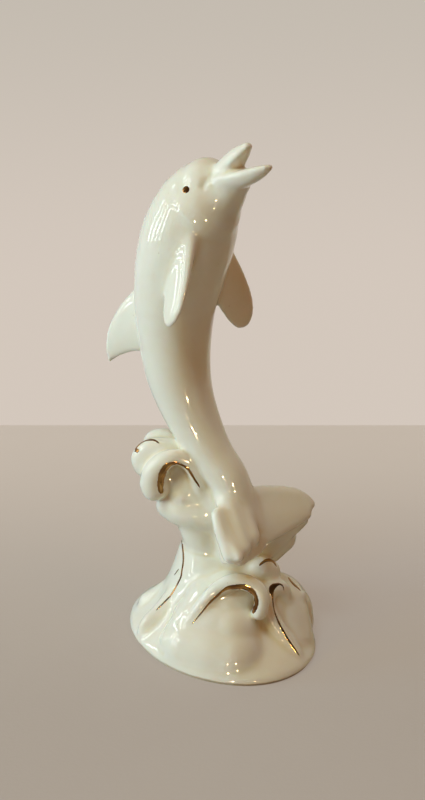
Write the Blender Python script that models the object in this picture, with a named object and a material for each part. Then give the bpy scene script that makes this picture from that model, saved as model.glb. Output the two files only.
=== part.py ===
"""A leaping dolphin above a curling wave: one glazed porcelain casting on a flat foot.

Metres, +Z up. The origin is the middle of the foot, on the surface that the figurine stands on.
The dolphin's right side faces -Y and its belly faces +X, turned a little towards -Y.
"""

import math

import bmesh
import bpy
import numpy as np

# Body: rows of x, y, z along the spine from the tail stock to the melon, and the share of the girth
BODY_RADIUS = 0.0145
BELLY_TURN = math.radians(32)
SPINE = (
    (0.0090, -0.0075, 0.0440, 0.30),
    (0.0065, -0.0060, 0.0486, 0.35),
    (0.0020, -0.0040, 0.0581, 0.43),
    (-0.0030, -0.0010, 0.0644, 0.48),
    (-0.0072, 0.0020, 0.0714, 0.54),
    (-0.0116, 0.0050, 0.0811, 0.63),
    (-0.0141, 0.0070, 0.0904, 0.72),
    (-0.0150, 0.0080, 0.1000, 0.79),
    (-0.0149, 0.0080, 0.1114, 0.88),
    (-0.0132, 0.0070, 0.1228, 0.97),
    (-0.0109, 0.0050, 0.1326, 1.00),
    (-0.0082, 0.0030, 0.1408, 0.93),
    (-0.0060, 0.0012, 0.1462, 0.79),
    (-0.0044, -0.0008, 0.1494, 0.58),
)

# Head, turned a little further: each open jaw's seat is its way forward and up from the last spine row
HEAD_TURN = math.radians(48)
UPPER_JAW_SEAT = (0.0063, 0.0026)
UPPER_JAW_LENGTH = 0.0163
UPPER_JAW_WIDTH = 0.0088
UPPER_JAW_DEPTH = 0.0106
UPPER_JAW_RISE = math.radians(46)
LOWER_JAW_SEAT = (0.0080, 0.0041)
LOWER_JAW_LENGTH = 0.0189
LOWER_JAW_WIDTH = 0.0100
LOWER_JAW_DEPTH = 0.0092
LOWER_JAW_RISE = math.radians(18)
JAW_TAPER = ((0.0, 1.0), (0.30, 0.92), (0.56, 0.80), (0.76, 0.62), (0.88, 0.44))
PALATE_BULGE = 0.25
MELON = (
    (-0.0090, 0.0034, 0.1440, 0.0108),
    (-0.0067, 0.0012, 0.1478, 0.0097),
    (-0.0050, -0.0004, 0.1500, 0.0084),
)
THROAT = (
    (-0.0055, -0.0004, 0.1430, 0.0115),
    (-0.0022, -0.0023, 0.1467, 0.0096),
    (0.0006, -0.0046, 0.1493, 0.0068),
    (0.0034, -0.0076, 0.1524, 0.0046),
)
EYE_RADIUS = 0.0014
# Eye and mouth fold: rows of the way forward, sideways and up from the last spine row, and the fold's depth
EYE_SEAT = (0.0002, 0.0076, 0.0005)
MOUTH_FOLD = (
    (0.0113, 0.0034, 0.0072, 0.0003),
    (0.0091, 0.0037, 0.0066, 0.0004),
    (0.0067, 0.0038, 0.0054, 0.0004),
    (0.0057, 0.0046, 0.0044, 0.0004),
    (0.0050, 0.0057, 0.0033, 0.0005),
    (0.0048, 0.0064, 0.0020, 0.0006),
)
MOUTH_WIDTH = 0.0011

# Fins: rows of the share of the length, the front and back edges as shares of the chord, and thickness
PECTORAL_LENGTH = 0.0255
PECTORAL_CHORD = 0.0135
PECTORAL_THICKNESS = 0.0042
PECTORAL_SPREAD = 0.46
PECTORAL_ROWS = (
    (-0.20, 0.50, -0.56, 1.60),
    (0.00, 0.54, -0.50, 1.35),
    (0.30, 0.54, -0.44, 1.00),
    (0.60, 0.48, -0.42, 0.74),
    (0.82, 0.36, -0.38, 0.60),
    (0.94, 0.20, -0.30, 0.46),
    (1.00, 0.02, -0.18, 0.30),
)
# Right and left fin: share of the spine, angles of root and chord from the belly, lean to the belly
PECTORALS = (
    (0.80, math.radians(71), math.radians(33), 0.32),
    (0.72, math.radians(-60), math.radians(-53), 0.50),
)
DORSAL_SHARE = 0.575
DORSAL_HEIGHT = 0.0140
DORSAL_CHORD = 0.0220
DORSAL_THICKNESS = 0.0056
DORSAL_ROWS = (
    (-0.40, 0.66, -0.50, 1.10),
    (0.00, 0.54, -0.50, 1.00),
    (0.30, 0.38, -0.53, 0.84),
    (0.58, 0.20, -0.60, 0.70),
    (0.80, 0.00, -0.68, 0.58),
    (0.93, -0.13, -0.74, 0.54),
    (1.00, -0.25, -0.77, 0.50),
    (1.03, -0.34, -0.74, 0.46),
)
FLUKE_SHARE = 0.01
FLUKE_LENGTH = 0.0220
FLUKE_CHORD = 0.0165
FLUKE_THICKNESS = 0.0060
FLUKE_EDGE_RADIUS = 0.0032
# Each roll of a fluke's edge: its inset in radii, and how many rows it follows
FLUKE_ROLLS = ((1.0, 7), (1.8, 4))
FLUKE_FRONT = (-0.57, 0.22, 0.79)
# Right and left fluke: the way that it points, and rows as above with the share of the edge radius
FLUKES = (
    ((-0.38, -0.88, -0.30), (
        (-0.05, 0.45, -0.50, 0.60, 0.50),
        (0.15, 0.58, -0.55, 1.00, 0.56),
        (0.34, 0.78, -0.52, 0.95, 0.62),
        (0.45, 0.70, -0.46, 0.90, 0.68),
        (0.55, 0.54, -0.40, 0.90, 0.74),
        (0.65, 0.34, -0.34, 0.85, 0.78),
        (0.74, 0.18, -0.30, 0.80, 0.78),
    )),
    ((0.93, 0.36, -0.03), (
        (-0.05, 0.50, -0.50, 0.60, 0.60),
        (0.15, 0.66, -0.50, 1.00, 0.80),
        (0.40, 0.64, -0.40, 0.90, 0.85),
        (0.68, 0.57, -0.26, 0.80, 0.80),
        (0.86, 0.45, -0.16, 0.70, 0.72),
        (0.97, 0.30, -0.10, 0.60, 0.64),
    )),
)

# Skirt of the wave on an oval foot: rows of height, share of the oval and share of the column's shift
BASE_LENGTH = 0.0726
BASE_WIDTH = 0.0562
BASE_TURN = math.radians(36)
BASE_MIDDLE = (-0.0004, 0.0008)
FOOT_HEIGHT = 0.0010
FOOT_INSET = 0.0006
COLUMN_SHIFT = (-0.0050, 0.0034)
SKIRT_ROWS = (
    (-0.0030, 1.00, 0.00),
    (0.0000, 1.00, 0.00),
    (0.0022, 0.99, 0.00),
    (0.0045, 0.91, 0.05),
    (0.0080, 0.75, 0.20),
    (0.0125, 0.59, 0.42),
    (0.0180, 0.46, 0.66),
    (0.0240, 0.36, 0.86),
    (0.0300, 0.28, 1.00),
)

# Ridges, curls and lobes of the wave: rows of x, y, z and radius
WAVE = {
    "column": (
        (0.0026, 0.0020, 0.0110, 0.0110),
        (-0.0036, 0.0030, 0.0199, 0.0084),
        (-0.0050, 0.0035, 0.0268, 0.0068),
        (-0.0054, 0.0035, 0.0341, 0.0076),
        (-0.0074, 0.0035, 0.0414, 0.0080),
        (-0.0095, 0.0030, 0.0490, 0.0076),
        (-0.0120, 0.0045, 0.0556, 0.0068),
        (-0.0144, 0.0070, 0.0608, 0.0055),
    ),
    "tail support": (
        (0.0020, 0.0040, 0.0137, 0.0100),
        (0.0035, 0.0020, 0.0255, 0.0090),
        (0.0038, 0.0010, 0.0350, 0.0080),
        (0.0000, 0.0010, 0.0450, 0.0062),
    ),
    "fluke facet left": (
        (-0.0024, -0.0128, 0.0484, 0.0013),
        (0.0006, -0.0184, 0.0366, 0.0015),
    ),
    "fluke facet middle": (
        (-0.0020, -0.0132, 0.0488, 0.0013),
        (0.0020, -0.0202, 0.0376, 0.0016),
    ),
    "fluke facet front": (
        (-0.0016, -0.0136, 0.0492, 0.0013),
        (0.0034, -0.0220, 0.0388, 0.0016),
    ),
    "fluke ridge": (
        (-0.0010, -0.0138, 0.0496, 0.0016),
        (0.0048, -0.0234, 0.0403, 0.0017),
    ),
    "fluke slope": (
        (0.0014, -0.0030, 0.0560, 0.0046),
        (0.0026, -0.0108, 0.0494, 0.0040),
        (0.0060, -0.0192, 0.0415, 0.0030),
    ),
    "fluke slope rear": (
        (0.0030, 0.0005, 0.0570, 0.0050),
        (0.0050, -0.0080, 0.0490, 0.0046),
        (0.0084, -0.0150, 0.0430, 0.0034),
    ),
    "far support": (
        (0.0059, 0.0040, 0.0249, 0.0074),
        (0.0142, 0.0045, 0.0302, 0.0066),
        (0.0190, 0.0050, 0.0332, 0.0056),
    ),
    "far lobe": (
        (0.0130, 0.0030, 0.0305, 0.0052),
        (0.0168, 0.0030, 0.0308, 0.0036),
        (0.0190, 0.0030, 0.0310, 0.0030),
    ),
    "fluke cushion": (
        (0.0140, 0.0000, 0.0322, 0.0046),
        (0.0200, 0.0005, 0.0362, 0.0027),
        (0.0236, 0.0010, 0.0388, 0.0024),
        (0.0262, 0.0015, 0.0408, 0.0020),
    ),
    "fluke bed": (
        (0.0080, -0.0010, 0.0395, 0.0052),
        (0.0145, -0.0010, 0.0400, 0.0044),
        (0.0205, 0.0000, 0.0412, 0.0034),
    ),
    "far rear lobe": (
        (0.0080, 0.0060, 0.0300, 0.0060),
        (0.0140, 0.0110, 0.0340, 0.0050),
        (0.0185, 0.0135, 0.0372, 0.0040),
    ),
    "crest curl": (
        (-0.0047, -0.0010, 0.0448, 0.0030),
        (-0.0063, -0.0025, 0.0521, 0.0026),
        (-0.0082, -0.0035, 0.0583, 0.0024),
        (-0.0109, -0.0035, 0.0630, 0.0024),
        (-0.0144, -0.0035, 0.0652, 0.0025),
        (-0.0181, -0.0030, 0.0637, 0.0031),
        (-0.0211, -0.0020, 0.0600, 0.0038),
        (-0.0222, -0.0010, 0.0557, 0.0044),
        (-0.0218, -0.0010, 0.0535, 0.0044),
    ),
    "side curl": (
        (-0.0142, 0.0030, 0.0641, 0.0034),
        (-0.0190, 0.0030, 0.0655, 0.0034),
        (-0.0232, 0.0040, 0.0645, 0.0036),
        (-0.0253, 0.0050, 0.0615, 0.0042),
        (-0.0250, 0.0050, 0.0592, 0.0042),
    ),
    "rear curl": (
        (-0.0130, 0.0060, 0.0640, 0.0036),
        (-0.0179, 0.0090, 0.0660, 0.0036),
        (-0.0216, 0.0100, 0.0655, 0.0036),
        (-0.0229, 0.0100, 0.0632, 0.0036),
    ),
    "low lobe": (
        (-0.0030, -0.0010, 0.0436, 0.0056),
        (-0.0095, -0.0004, 0.0446, 0.0056),
        (-0.0145, 0.0010, 0.0452, 0.0052),
        (-0.0174, 0.0016, 0.0462, 0.0043),
    ),
    "crest floor": (
        (-0.0080, 0.0030, 0.0460, 0.0062),
        (-0.0120, 0.0035, 0.0530, 0.0066),
        (-0.0155, 0.0060, 0.0590, 0.0060),
    ),
    "back rest": (
        (-0.0095, 0.0040, 0.0600, 0.0058),
        (-0.0040, 0.0015, 0.0520, 0.0068),
        (0.0000, 0.0000, 0.0450, 0.0070),
        (0.0030, -0.0010, 0.0380, 0.0066),
    ),
    "crest bulge": (
        (-0.0105, 0.0000, 0.0470, 0.0044),
        (-0.0128, -0.0010, 0.0505, 0.0036),
    ),
    "front lip": (
        (-0.0172, -0.0200, 0.0030, 0.0014),
        (-0.0128, -0.0190, 0.0103, 0.0017),
        (-0.0085, -0.0175, 0.0172, 0.0019),
        (-0.0049, -0.0166, 0.0220, 0.0021),
        (-0.0015, -0.0158, 0.0253, 0.0024),
        (0.0026, -0.0160, 0.0276, 0.0026),
        (0.0070, -0.0170, 0.0281, 0.0026),
        (0.0108, -0.0180, 0.0265, 0.0026),
        (0.0124, -0.0190, 0.0235, 0.0025),
        (0.0121, -0.0190, 0.0200, 0.0025),
        (0.0115, -0.0190, 0.0184, 0.0026),
    ),
    "front shoulder": (
        (-0.0040, -0.0080, 0.0160, 0.0080),
        (0.0020, -0.0100, 0.0200, 0.0076),
        (0.0050, -0.0108, 0.0205, 0.0062),
    ),
    "front slope": (
        (-0.0145, -0.0150, 0.0050, 0.0060),
        (-0.0095, -0.0125, 0.0130, 0.0058),
        (-0.0050, -0.0100, 0.0195, 0.0052),
    ),
    "upper face": (
        (-0.0036, -0.0090, 0.0165, 0.0086),
        (0.0014, -0.0116, 0.0165, 0.0082),
    ),
    "front face": (
        (-0.0060, -0.0115, 0.0100, 0.0106),
        (-0.0008, -0.0142, 0.0105, 0.0103),
        (0.0024, -0.0160, 0.0105, 0.0094),
    ),
    "front foot": (
        (-0.0085, -0.0150, 0.0040, 0.0110),
        (-0.0022, -0.0185, 0.0040, 0.0110),
        (0.0030, -0.0208, 0.0036, 0.0104),
    ),
    "right lip": (
        (0.0235, -0.0197, 0.0040, 0.0022),
        (0.0212, -0.0180, 0.0070, 0.0025),
        (0.0184, -0.0166, 0.0102, 0.0027),
        (0.0155, -0.0149, 0.0148, 0.0026),
        (0.0140, -0.0130, 0.0184, 0.0026),
        (0.0150, -0.0110, 0.0218, 0.0026),
        (0.0181, -0.0095, 0.0224, 0.0026),
        (0.0200, -0.0085, 0.0205, 0.0023),
        (0.0208, -0.0080, 0.0172, 0.0021),
        (0.0226, -0.0068, 0.0144, 0.0021),
        (0.0250, -0.0052, 0.0140, 0.0020),
        (0.0260, -0.0040, 0.0162, 0.0018),
    ),
    "right shoulder": (
        (0.0180, -0.0130, 0.0040, 0.0060),
        (0.0140, -0.0090, 0.0110, 0.0068),
        (0.0150, -0.0050, 0.0160, 0.0066),
    ),
    "right face": (
        (0.0205, -0.0085, 0.0030, 0.0098),
        (0.0205, -0.0050, 0.0090, 0.0084),
        (0.0195, -0.0010, 0.0135, 0.0078),
    ),
    "right wall": (
        (0.0268, 0.0020, 0.0030, 0.0042),
        (0.0262, 0.0030, 0.0085, 0.0040),
        (0.0238, 0.0030, 0.0128, 0.0040),
        (0.0205, 0.0020, 0.0162, 0.0042),
        (0.0150, 0.0010, 0.0180, 0.0050),
    ),
    "middle curl": (
        (0.0060, -0.0030, 0.0220, 0.0055),
        (0.0102, -0.0055, 0.0262, 0.0040),
        (0.0134, -0.0070, 0.0280, 0.0036),
        (0.0155, -0.0065, 0.0266, 0.0033),
        (0.0156, -0.0065, 0.0250, 0.0030),
    ),
    "middle bump": (
        (0.0019, -0.0040, 0.0230, 0.0045),
        (0.0067, -0.0070, 0.0218, 0.0052),
        (0.0113, -0.0070, 0.0198, 0.0052),
    ),
    "left ridge": (
        (-0.0262, -0.0060, 0.0036, 0.0020),
        (-0.0245, -0.0050, 0.0064, 0.0026),
        (-0.0200, -0.0030, 0.0099, 0.0030),
        (-0.0154, 0.0000, 0.0152, 0.0030),
        (-0.0120, 0.0025, 0.0208, 0.0030),
        (-0.0104, 0.0035, 0.0262, 0.0031),
        (-0.0100, 0.0040, 0.0313, 0.0034),
    ),
    "left rear ridge": (
        (-0.0250, 0.0095, 0.0060, 0.0036),
        (-0.0186, 0.0090, 0.0106, 0.0038),
        (-0.0122, 0.0080, 0.0160, 0.0042),
    ),
    "rear ridge": (
        (-0.0090, 0.0280, 0.0050, 0.0040),
        (-0.0070, 0.0200, 0.0120, 0.0048),
        (-0.0050, 0.0110, 0.0220, 0.0056),
    ),
    "rear right ridge": (
        (0.0130, 0.0260, 0.0050, 0.0040),
        (0.0110, 0.0190, 0.0120, 0.0050),
        (0.0060, 0.0100, 0.0220, 0.0060),
    ),
}

# The front wave comes again at the rear
REAR_COPIES = ("front lip", "front shoulder", "upper face", "front face")
REAR_TURN = math.radians(165)

# Skin: the size of its cells, how far the glaze fills a crease and softens an edge, and its facets
VOXEL = 0.0008
GLAZE_PASSES = 13
GLAZE_FILL = 1.0
GLAZE_SOFTEN = 0.15
GLAZE_SPREAD = 0.3
TRIANGLES = 11400
SIDES = 64
STEPS = 10
END_ANGLES = (10, 20, 30, 40, 50, 60, 70, 80)
LEVEL = 0.999

GLAZE_COLOUR = (0.78, 0.75, 0.64, 1.0)
GLAZE_ROUGHNESS = 0.12


def unit(vector):
    """The vector, or each row of vectors, at length one."""
    vector = np.asarray(vector, float)
    return vector / np.linalg.norm(vector, axis=-1, keepdims=True)


def smooth_rows(rows):
    """Rows read along a smooth curve through the given rows."""
    rows = np.array(rows, float)
    ends = np.vstack((2 * rows[0] - rows[1], rows, 2 * rows[-1] - rows[-2]))
    out = []
    for before, start, end, after in zip(ends, ends[1:], ends[2:], ends[3:]):
        for t in np.arange(STEPS) / STEPS:
            line = 2 * start + (end - before) * t
            bend = (2 * before - 5 * start + 4 * end - after) * t ** 2
            twist = (3 * start - before - 3 * end + after) * t ** 3
            out.append((line + bend + twist) / 2)
    out.append(rows[-1])
    return np.array(out)


def ellipse(centre, wide, deep):
    """A ring of points round the centre with the given half axes."""
    turn = np.linspace(0, 2 * math.pi, SIDES, endpoint=False)[:, None]
    return centre + np.cos(turn) * wide + np.sin(turn) * deep


def skin(bm, rings):
    """A closed tube through rings of points."""
    rows = [[bm.verts.new(point) for point in ring] for ring in rings]
    for low, high in zip(rows, rows[1:]):
        for k in range(len(low)):
            bm.faces.new((low[k - 1], low[k], high[k], high[k - 1]))
    bm.faces.new(rows[0][::-1])
    bm.faces.new(rows[-1])


def limb(bm, rows, across=(0.0, 0.0, 1.0), flat=1.0, bulge=1.0):
    """A tapering limb with round ends, from rows of centre and radius.

    flat is its depth over its width, and bulge what its under side keeps of that depth.
    """
    path = smooth_rows(rows)
    along = unit(np.gradient(path[:, :3], axis=0))
    side = np.array(across, float)
    rings = []
    for k, (direction, row) in enumerate(zip(along, path)):
        side = unit(side - side @ direction * direction)
        deep = np.cross(direction, side)
        angles = [0]
        if k == 0:
            angles = [-angle for angle in END_ANGLES[::-1]] + angles
        if k == len(path) - 1:
            angles = angles + list(END_ANGLES)
        for angle in np.radians(angles):
            centre = row[:3] + direction * row[3] * flat * math.sin(angle)
            radius = row[3] * math.cos(angle)
            ring = ellipse(centre, side * radius, deep * radius * flat)
            under = np.minimum((ring - centre) @ deep, 0)[:, None]
            rings.append(ring - under * deep * (1 - bulge))
    skin(bm, rings)


def blade(bm, root, along, front, size, rows):
    """A fin along a direction from its root, its front edge towards another.

    size is its length, chord and thickness.
    """
    length, chord, thickness = size
    along = unit(along)
    front = unit(front - front @ along * along)
    face = np.cross(along, front)
    rings = []
    for share, lead, trail, thick in smooth_rows(rows):
        middle = root + along * share * length + front * chord * (lead + trail) / 2
        rings.append(ellipse(middle, front * chord * (lead - trail) / 2, face * thickness * thick / 2))
    skin(bm, rings)


def level_way(turn):
    """The level direction that is turned from +X towards -Y."""
    return np.array((math.cos(turn), -math.sin(turn), 0.0))


def spine_place(share):
    """The centre, radius and direction of the body at a share of the spine."""
    path = smooth_rows(SPINE)
    along = unit(np.gradient(path[:, :3], axis=0))
    at = share * (len(path) - 1)
    low = min(int(at), len(path) - 2)
    row = path[low] + (path[low + 1] - path[low]) * (at - low)
    return row[:3], row[3] * BODY_RADIUS, along[low]


def way_out(direction, angle):
    """The way out of the body at an angle from the belly, positive to the right side."""
    belly = level_way(BELLY_TURN)
    belly = unit(belly - belly @ direction * direction)
    right = np.cross(belly, direction)
    return math.cos(angle) * belly + math.sin(angle) * right


def body_place(share, angle, lift=0.0):
    """A point on the body at a share of the spine and an angle from the belly, and the way out there."""
    centre, radius, direction = spine_place(share)
    out = way_out(direction, angle)
    return centre + out * (radius + lift), out


def head_place(forward, sideways, up):
    """A point of the head, from the end of the spine and from where the head looks."""
    ahead = level_way(HEAD_TURN)
    right = np.array((ahead[1], -ahead[0], 0.0))
    return np.array(SPINE[-1][:3]) + ahead * forward + right * sideways + np.array((0.0, 0.0, up))


def eye_place(side):
    """The middle of an eye; side is 1 for the right one and -1 for the left."""
    forward, sideways, up = EYE_SEAT
    return head_place(forward, sideways * side, up)


def add_body(bm):
    """The body with its melon, throat and eyes."""
    limb(bm, [(x, y, z, share * BODY_RADIUS) for x, y, z, share in SPINE])
    limb(bm, MELON)
    limb(bm, THROAT)
    for side in (1, -1):
        eye = bmesh.ops.create_icosphere(bm, subdivisions=3, radius=EYE_RADIUS)["verts"]
        bmesh.ops.translate(bm, verts=eye, vec=eye_place(side))


def add_jaw(bm, seat, rise, size, top):
    """One jaw: a tapering limb with a blunt tip, nearly flat towards the other jaw; top is 1 or -1."""
    length, width, depth = size
    up = np.array((0.0, 0.0, 1.0))
    ahead = level_way(HEAD_TURN)
    root = np.array(SPINE[-1][:3]) + ahead * seat[0] + up * seat[1]
    heading = ahead * math.cos(rise) + up * math.sin(rise)
    rows = [(*(root + heading * share * length), taper * width / 2) for share, taper in JAW_TAPER]
    limb(bm, rows, np.cross(up * top, heading), depth / width, PALATE_BULGE)


def add_beak(bm):
    """Both jaws, open."""
    upper = (UPPER_JAW_LENGTH, UPPER_JAW_WIDTH, UPPER_JAW_DEPTH)
    lower = (LOWER_JAW_LENGTH, LOWER_JAW_WIDTH, LOWER_JAW_DEPTH)
    add_jaw(bm, UPPER_JAW_SEAT, UPPER_JAW_RISE, upper, 1)
    add_jaw(bm, LOWER_JAW_SEAT, LOWER_JAW_RISE, lower, -1)


def add_pectorals(bm):
    """The two pectoral fins, swept back along the body."""
    for share, root_angle, chord_angle, lean in PECTORALS:
        root, out = body_place(share, root_angle, -PECTORAL_THICKNESS)
        direction = spine_place(share)[2]
        along = out * PECTORAL_SPREAD + way_out(direction, 0) * lean - direction
        blade(bm, root, along, way_out(direction, chord_angle),
              (PECTORAL_LENGTH, PECTORAL_CHORD, PECTORAL_THICKNESS), PECTORAL_ROWS)


def add_dorsal(bm):
    """The dorsal fin, on the middle of the back."""
    root, out = body_place(DORSAL_SHARE, math.pi)
    blade(bm, root, out, spine_place(DORSAL_SHARE)[2],
          (DORSAL_HEIGHT, DORSAL_CHORD, DORSAL_THICKNESS), DORSAL_ROWS)


def add_flukes(bm):
    """The two tail flukes, each with a thick round front edge."""
    root = spine_place(FLUKE_SHARE)[0]
    front = np.array(FLUKE_FRONT)
    for way, rows in FLUKES:
        size = (FLUKE_LENGTH, FLUKE_CHORD, FLUKE_THICKNESS)
        blade(bm, root, way, front, size, [row[:4] for row in rows])
        along = unit(way)
        across = unit(front - front @ along * along)
        for inset, count in FLUKE_ROLLS:
            edge = []
            for share, lead, _, _, round_share in rows[:count]:
                radius = FLUKE_EDGE_RADIUS * round_share
                place = root + along * share * FLUKE_LENGTH + across * (lead * FLUKE_CHORD - radius * inset)
                edge.append((*place, radius))
            limb(bm, edge)


def turned(row):
    """A row of the wave turned about the middle of the base to the rear."""
    x = row[0] - BASE_MIDDLE[0]
    y = row[1] - BASE_MIDDLE[1]
    cosine = math.cos(REAR_TURN)
    sine = math.sin(REAR_TURN)
    return (BASE_MIDDLE[0] + x * cosine - y * sine, BASE_MIDDLE[1] + x * sine + y * cosine, row[2], row[3])


def add_skirt(bm):
    """The flared skirt that stands on the foot."""
    wide = np.array((math.cos(BASE_TURN), math.sin(BASE_TURN), 0.0)) * BASE_WIDTH / 2
    deep = np.array((-math.sin(BASE_TURN), math.cos(BASE_TURN), 0.0)) * BASE_LENGTH / 2
    rings = []
    for height, share, shift in smooth_rows(SKIRT_ROWS):
        middle = np.array((*(np.array(BASE_MIDDLE) + shift * np.array(COLUMN_SHIFT)), height))
        rings.append(ellipse(middle, wide * share, deep * share))
    skin(bm, rings)


def add_wave(bm):
    """The ridges, curls and lobes that rise from the skirt."""
    for rows in WAVE.values():
        limb(bm, rows)
    for name in REAR_COPIES:
        limb(bm, [turned(row) for row in WAVE[name]])


def mesh_points(mesh):
    """Every point of the mesh, one row each."""
    points = np.empty(len(mesh.vertices) * 3)
    mesh.vertices.foreach_get("co", points)
    return points.reshape(-1, 3)


def mesh_normals(mesh):
    """Every point's normal, one row each."""
    normals = np.empty(len(mesh.vertices) * 3)
    mesh.vertices.foreach_get("normal", normals)
    return normals.reshape(-1, 3)


def set_points(mesh, points):
    """Moves every point of the mesh."""
    mesh.vertices.foreach_set("co", points.ravel())
    mesh.update()


def pool_glaze(mesh):
    """Fills the creases as glaze does when it runs, and softens the edges only a little."""
    count = len(mesh.vertices)
    points = mesh_points(mesh)
    edges = np.empty(len(mesh.edges) * 2, int)
    mesh.edges.foreach_get("vertices", edges)
    start, end = edges.reshape(-1, 2).T
    neighbours = np.bincount(np.concatenate((start, end)), minlength=count)[:, None]
    for _ in range(GLAZE_PASSES):
        total = np.zeros_like(points)
        for axis in range(3):
            total[:, axis] += np.bincount(start, points[end, axis], count)
            total[:, axis] += np.bincount(end, points[start, axis], count)
        pull = total / neighbours - points
        normal = mesh_normals(mesh)
        rise = (pull * normal).sum(1, keepdims=True)
        keep = np.where(rise > 0, GLAZE_FILL, GLAZE_SOFTEN)
        points = points + normal * rise * keep + (pull - rise * normal) * GLAZE_SPREAD
        set_points(mesh, points)


def fold_mouth(mesh):
    """Presses the fold that runs back from each corner of the mouth into the skin."""
    points = mesh_points(mesh)
    press = np.zeros(len(points))
    for side in (1, -1):
        for forward, sideways, up, depth in smooth_rows(MOUTH_FOLD):
            away = np.linalg.norm(points - head_place(forward, sideways * side, up), axis=1)
            press = np.maximum(press, depth * np.exp(-(away / MOUTH_WIDTH) ** 2))
    set_points(mesh, points - mesh_normals(mesh) * press[:, None])


def apply_modifiers(piece):
    """Gives the piece the mesh that its modifiers make."""
    shape = bpy.data.meshes.new_from_object(piece.evaluated_get(bpy.context.evaluated_depsgraph_get()))
    piece.modifiers.clear()
    piece.data = shape


def cut_level(mesh):
    """Cuts the figurine off level at the top of its foot."""
    bm = bmesh.new()
    bm.from_mesh(mesh)
    everything = bm.verts[:] + bm.edges[:] + bm.faces[:]
    cut = bmesh.ops.bisect_plane(
        bm, geom=everything, plane_co=(0, 0, FOOT_HEIGHT), plane_no=(0, 0, -1), clear_outer=True)
    rim = [item for item in cut["geom_cut"] if isinstance(item, bmesh.types.BMEdge)]
    bmesh.ops.contextual_create(bm, geom=rim)
    bm.to_mesh(mesh)
    bm.free()


def add_foot(mesh):
    """Sets the level underside in a little and brings it down to the surface that it stands on."""
    bm = bmesh.new()
    bm.from_mesh(mesh)
    bm.normal_update()
    underside = [face for face in bm.faces
                 if face.normal.z < -LEVEL and face.calc_center_median().z < 2 * FOOT_HEIGHT]
    for face in underside:
        for vert in face.verts:
            vert.co.z = FOOT_HEIGHT
    bmesh.ops.inset_region(bm, faces=underside, thickness=FOOT_INSET, use_even_offset=True)
    foot = bmesh.ops.extrude_face_region(bm, geom=underside)["geom"]
    bmesh.ops.delete(bm, geom=underside, context="FACES")
    for item in foot:
        if isinstance(item, bmesh.types.BMVert):
            item.co.z = 0.0
    bmesh.ops.recalc_face_normals(bm, faces=bm.faces[:])
    bm.to_mesh(mesh)
    bm.free()


def porcelain():
    """Ivory glazed porcelain."""
    material = bpy.data.materials.new("porcelain")
    material.use_nodes = True
    shader = material.node_tree.nodes["Principled BSDF"]
    shader.inputs["Base Color"].default_value = GLAZE_COLOUR
    shader.inputs["Roughness"].default_value = GLAZE_ROUGHNESS
    shader.inputs["Metallic"].default_value = 0.0
    return material


def rough_shape():
    """Every limb, fin and lobe of the figurine, still overlapping, in one mesh."""
    bm = bmesh.new()
    for add in (add_body, add_beak, add_pectorals, add_dorsal, add_flukes, add_skirt, add_wave):
        add(bm)
    bmesh.ops.recalc_face_normals(bm, faces=bm.faces[:])
    mesh = bpy.data.meshes.new("figurine")
    bm.to_mesh(mesh)
    bm.free()
    return mesh


def add_figurine():
    """The whole casting: one skin round all of its shapes, glazed, cut level and set on its foot."""
    piece = bpy.data.objects.new("figurine", rough_shape())
    bpy.context.scene.collection.objects.link(piece)
    remesh = piece.modifiers.new("Skin", "REMESH")
    remesh.mode = "VOXEL"
    remesh.voxel_size = VOXEL
    apply_modifiers(piece)
    pool_glaze(piece.data)
    fold_mouth(piece.data)
    cut_level(piece.data)
    facets = piece.modifiers.new("Facets", "DECIMATE")
    facets.ratio = TRIANGLES / sum(len(face.vertices) - 2 for face in piece.data.polygons)
    apply_modifiers(piece)
    add_foot(piece.data)
    piece.data.materials.append(porcelain())
    piece.data.shade_smooth()


def main():
    for item in list(bpy.data.objects):
        bpy.data.objects.remove(item)
    add_figurine()


main()
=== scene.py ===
# %% [markdown]
# # A dolphin leaping above a wave
# The ornament is one small casting of glazed porcelain. Slip was poured into a plaster mould, fired,
# glazed all over but for its foot, and then painted by hand with a few strokes of gold lustre.
# This lesson rebuilds how it looks: first the shape, then the glaze, then the gold, then the light.
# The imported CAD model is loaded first, and it is the frame that everything here has to fit.

# %% The frame
import math

import bmesh
import bpy
import numpy as np
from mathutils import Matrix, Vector
from mathutils.bvhtree import BVHTree


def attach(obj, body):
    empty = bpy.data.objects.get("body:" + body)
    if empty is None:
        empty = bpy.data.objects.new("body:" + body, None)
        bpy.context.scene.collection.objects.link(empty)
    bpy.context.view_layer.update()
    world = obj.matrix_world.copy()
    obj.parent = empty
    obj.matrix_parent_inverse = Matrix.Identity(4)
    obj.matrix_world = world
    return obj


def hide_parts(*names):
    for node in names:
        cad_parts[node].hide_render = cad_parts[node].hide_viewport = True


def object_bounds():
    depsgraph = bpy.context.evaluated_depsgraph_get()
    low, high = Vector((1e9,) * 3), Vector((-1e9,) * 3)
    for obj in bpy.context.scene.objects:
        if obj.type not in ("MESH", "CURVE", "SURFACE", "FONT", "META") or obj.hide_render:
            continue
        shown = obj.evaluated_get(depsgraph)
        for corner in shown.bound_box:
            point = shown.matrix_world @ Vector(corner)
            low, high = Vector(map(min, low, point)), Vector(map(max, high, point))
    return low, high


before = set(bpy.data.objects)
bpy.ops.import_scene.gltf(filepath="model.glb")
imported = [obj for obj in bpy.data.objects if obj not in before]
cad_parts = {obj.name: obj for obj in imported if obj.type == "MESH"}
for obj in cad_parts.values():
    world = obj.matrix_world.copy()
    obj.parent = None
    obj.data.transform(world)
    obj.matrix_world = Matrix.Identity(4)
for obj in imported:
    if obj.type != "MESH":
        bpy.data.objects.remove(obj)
CAD_BOX = [list(map(float, corner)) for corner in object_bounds()]
print("CAD box", CAD_BOX)

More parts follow.
